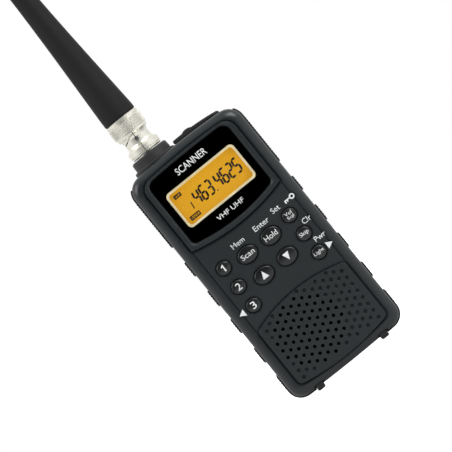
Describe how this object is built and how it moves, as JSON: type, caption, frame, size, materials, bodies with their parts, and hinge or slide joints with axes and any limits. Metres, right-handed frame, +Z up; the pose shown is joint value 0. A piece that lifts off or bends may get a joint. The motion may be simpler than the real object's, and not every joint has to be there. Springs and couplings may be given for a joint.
{
  "type": "handheld radio scanner",
  "caption": "Handheld radio scanner with lit display, keypad, speaker grille, bayonet whip antenna, battery door and belt clip.",
  "frame": {"origin": "on the surface it stands on, at the middle of the overall box in X and Y", "axes": "+Z up along the case and the antenna, -Y out of the display, +X to the user's right"},
  "size_m": [0.0578, 0.0366, 0.2634],
  "materials": {
    "basket_steel": "pressed steel",
    "black_print": "black film",
    "board_laminate": "green solder mask",
    "brass": "turned",
    "case_plastic": "fine moulded texture, charcoal",
    "cell_wrap": "plain grey wrap",
    "chip_resin": "moulded resin",
    "clip_plastic": "moulded black nylon",
    "collar_rubber": "moulded rubber",
    "cone_paper": "pressed pulp",
    "contact_rubber": "layered conductive rubber",
    "display_glass": "amber-lit display glass",
    "door_plastic": "fine moulded texture, charcoal",
    "gold_contact": "gold plated",
    "grip_rubber": "soft-touch moulded rubber",
    "key_rubber": "moulded silicone rubber, satin",
    "keypad_rubber": "silicone rubber sheet",
    "lead_insulation": "red insulation",
    "light_guide": "frosted light guide",
    "magnet_iron": "sintered ferrite",
    "nickel": "nickel plated brass",
    "reflector_plastic": "cream moulded reflector",
    "screw_steel": "zinc plated",
    "sleeve_nickel": "nickel plated and knurled",
    "socket_plastic": "moulded black",
    "speaker_cloth": "woven black dust cloth",
    "spring_steel": "plated",
    "tin_plate": "tin-plated pressing",
    "tray_plastic": "moulded black",
    "whip_rubber": "moulded satin rubber",
    "white_insulator": "moulded fluoropolymer",
    "window_acrylic": "clear polished acrylic"
  },
  "bodies": {
    "case": {"front_shell": "case_plastic", "rear_shell": "case_plastic", "side_grip_left": "grip_rubber", "side_grip_right": "grip_rubber", "feet": "grip_rubber", "display_window": "window_acrylic", "display_mask": "black_print", "lcd_frame": "reflector_plastic", "lcd_glass": "display_glass", "lcd_backlight": "light_guide", "lcd_contact_strip": "contact_rubber", "control_board": "board_laminate", "radio_board": "board_laminate", "shield_can": "tin_plate", "radio_chips": "chip_resin", "board_connector": "socket_plastic", "board_spacers": "brass", "keypad_mat": "keypad_rubber", "switch_domes": "spring_steel", "board_screws": "screw_steel", "speaker_cloth": "speaker_cloth", "speaker_basket": "basket_steel", "speaker_cone": "cone_paper", "speaker_magnet": "magnet_iron", "speaker_leads": "lead_insulation", "battery_tray": "tray_plastic", "cell_left": "cell_wrap", "cell_right": "cell_wrap", "battery_springs": "spring_steel", "battery_plates": "spring_steel", "antenna_collar": "collar_rubber", "antenna_jack": "nickel", "jack_insulator": "white_insulator", "jack_contact": "gold_contact", "earphone_jack": "socket_plastic", "power_jack": "socket_plastic", "clip_base": "clip_plastic", "clip_pin": "spring_steel", "clip_spring": "spring_steel", "clip_screws": "screw_steel", "case_screws": "screw_steel"},
    "antenna": {"plug_body": "nickel", "plug_insulator": "white_insulator", "plug_pin": "gold_contact", "antenna_whip": "whip_rubber", "antenna_coil": "spring_steel"},
    "sleeve": {"bayonet_sleeve": "sleeve_nickel"},
    "door": {"battery_door": "door_plastic"},
    "cover": {"jack_cover": "collar_rubber"},
    "clip": {"clip_arm": "clip_plastic"},
    "key_1_cap": {"key_1": "key_rubber"},
    "key_2_cap": {"key_2": "key_rubber"},
    "key_3_cap": {"key_3": "key_rubber"},
    "key_service_cap": {"key_service": "key_rubber"},
    "key_hold_cap": {"key_hold": "key_rubber"},
    "key_up_cap": {"key_up": "key_rubber"},
    "key_down_cap": {"key_down": "key_rubber"},
    "key_volume_cap": {"key_volume": "key_rubber"},
    "key_lockout_cap": {"key_lockout": "key_rubber"},
    "key_light_cap": {"key_light": "key_rubber"}
  },
  "joints": [
    {"name": "antenna_lift", "type": "slide", "parent": "case", "child": "antenna", "axis": [0, 0, 1], "range_m": [0, 0.002]},
    {"name": "bayonet_turn", "type": "hinge", "parent": "antenna", "child": "sleeve", "pos_m": [-0.0116, -0.00305, 0.1314], "axis": [0, 0, 1], "range_deg": [0, 90]},
    {"name": "battery_door_open", "type": "hinge", "parent": "case", "child": "door", "pos_m": [0, 0.00915, 0.0083], "axis": [-1, 0, 0], "range_deg": [0, 85]},
    {"name": "jack_cover_open", "type": "hinge", "parent": "case", "child": "cover", "pos_m": [-0.0003, -0.00305, 0.1179], "axis": [0, -1, 0], "range_deg": [0, 90]},
    {"name": "clip_open", "type": "hinge", "parent": "case", "child": "clip", "pos_m": [0, 0.01395, 0.1014], "axis": [1, 0, 0], "range_deg": [0, 18], "stiffness_Nm_per_rad": 0.05, "springref_deg": -22.92},
    {"name": "key_1_press", "type": "slide", "parent": "case", "child": "key_1_cap", "axis": [0, 1, 0], "range_m": [0, 0.0008], "stiffness_N_per_m": 1500, "springref_m": -0.0002},
    {"name": "key_2_press", "type": "slide", "parent": "case", "child": "key_2_cap", "axis": [0, 1, 0], "range_m": [0, 0.0008], "stiffness_N_per_m": 1500, "springref_m": -0.0002},
    {"name": "key_3_press", "type": "slide", "parent": "case", "child": "key_3_cap", "axis": [0, 1, 0], "range_m": [0, 0.0008], "stiffness_N_per_m": 1500, "springref_m": -0.0002},
    {"name": "key_service_press", "type": "slide", "parent": "case", "child": "key_service_cap", "axis": [0, 1, 0], "range_m": [0, 0.0008], "stiffness_N_per_m": 1500, "springref_m": -0.0002},
    {"name": "key_hold_press", "type": "slide", "parent": "case", "child": "key_hold_cap", "axis": [0, 1, 0], "range_m": [0, 0.0008], "stiffness_N_per_m": 1500, "springref_m": -0.0002},
    {"name": "key_up_press", "type": "slide", "parent": "case", "child": "key_up_cap", "axis": [0, 1, 0], "range_m": [0, 0.0008], "stiffness_N_per_m": 1500, "springref_m": -0.0002},
    {"name": "key_down_press", "type": "slide", "parent": "case", "child": "key_down_cap", "axis": [0, 1, 0], "range_m": [0, 0.0008], "stiffness_N_per_m": 1500, "springref_m": -0.0002},
    {"name": "key_volume_press", "type": "slide", "parent": "case", "child": "key_volume_cap", "axis": [0, 1, 0], "range_m": [0, 0.0008], "stiffness_N_per_m": 1500, "springref_m": -0.0002},
    {"name": "key_lockout_press", "type": "slide", "parent": "case", "child": "key_lockout_cap", "axis": [0, 1, 0], "range_m": [0, 0.0008], "stiffness_N_per_m": 1500, "springref_m": -0.0002},
    {"name": "key_light_press", "type": "slide", "parent": "case", "child": "key_light_cap", "axis": [0, 1, 0], "range_m": [0, 0.0008], "stiffness_N_per_m": 1500, "springref_m": -0.0002}
  ],
  "couplings": [
    {"joint": "bayonet_turn", "follows": "antenna_lift", "rad_per_m": 785.4}
  ]
}
